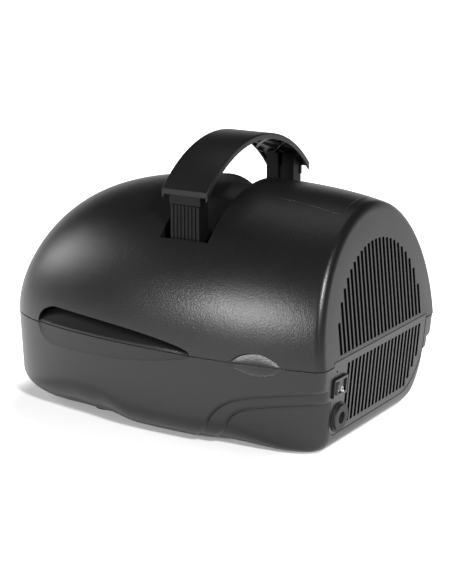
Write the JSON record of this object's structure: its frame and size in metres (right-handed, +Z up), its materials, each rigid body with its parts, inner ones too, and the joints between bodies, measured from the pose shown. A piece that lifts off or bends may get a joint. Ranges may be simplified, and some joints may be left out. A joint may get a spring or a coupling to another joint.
{
  "type": "car dryer blower",
  "caption": "Portable car dryer blower: domed clamshell body with a pull-up handle, slotted intake end, rocker switch, cord bush and a round hose socket.",
  "frame": {"origin": "centre of the ground area under the feet", "axes": "+X along the barrel to the intake end, +Y away from the switch side, +Z up"},
  "size_m": [0.3242, 0.232, 0.2306],
  "materials": {
    "shell": "satin, finely textured",
    "handle": "satin, finely textured",
    "switch": "satin",
    "bush": "matt",
    "foot": "matt",
    "seal": "matt",
    "screw": "blackened",
    "inner": "matt",
    "foam": "open foam",
    "sheet": "zinc plated",
    "impeller": "bright",
    "frame": "cast",
    "steel": "ground",
    "core": "laminated, lacquered",
    "copper": "lacquered",
    "carbon": "matt",
    "can": "smooth"
  },
  "bodies": {
    "body": {"upper_shell": "shell", "lower_shell": "shell", "end_panel": "shell", "outlet_collar": "shell", "switch_body": "switch", "cord_bush": "bush", "feet": "foot", "collar_seal": "seal", "motor_gasket": "seal", "cradle_ring": "seal", "shell_screws": "screw", "bulkhead": "inner", "motor_cradle": "inner", "filter_frame": "inner", "brush_holders": "inner", "terminal_block": "inner", "filter_foam": "foam", "fan_shroud": "sheet", "fan_diffuser": "sheet", "fan_end_plate": "sheet", "motor_frame": "frame", "bearing_fan_end": "steel", "bearing_brush_end": "steel", "stator_core": "core", "field_coils": "copper", "carbon_brushes": "carbon", "capacitor": "can"},
    "handle": {"handle_grip": "handle", "handle_post_front": "handle", "handle_post_rear": "handle", "handle_screws": "screw"},
    "rocker": {"switch_rocker": "switch"},
    "rotor": {"motor_shaft": "steel", "impeller_outer": "impeller", "impeller_inner": "impeller", "impeller_spacer": "impeller", "impeller_nut": "steel", "armature_core": "core", "armature_windings": "copper", "commutator": "copper"}
  },
  "joints": [
    {"name": "handle_slide", "type": "slide", "parent": "body", "child": "handle", "axis": [0, 0, 1], "range_m": [-0.036, 0]},
    {"name": "switch_rock", "type": "hinge", "parent": "body", "child": "rocker", "pos_m": [0.15721, -0.0715, 0.05568], "axis": [0.0854, 0, 0.9963], "range_deg": [-20, 0]},
    {"name": "rotor_spin", "type": "hinge", "parent": "body", "child": "rotor", "pos_m": [0.02, 0, 0.08], "axis": [1, 0, 0], "continuous": true}
  ]
}
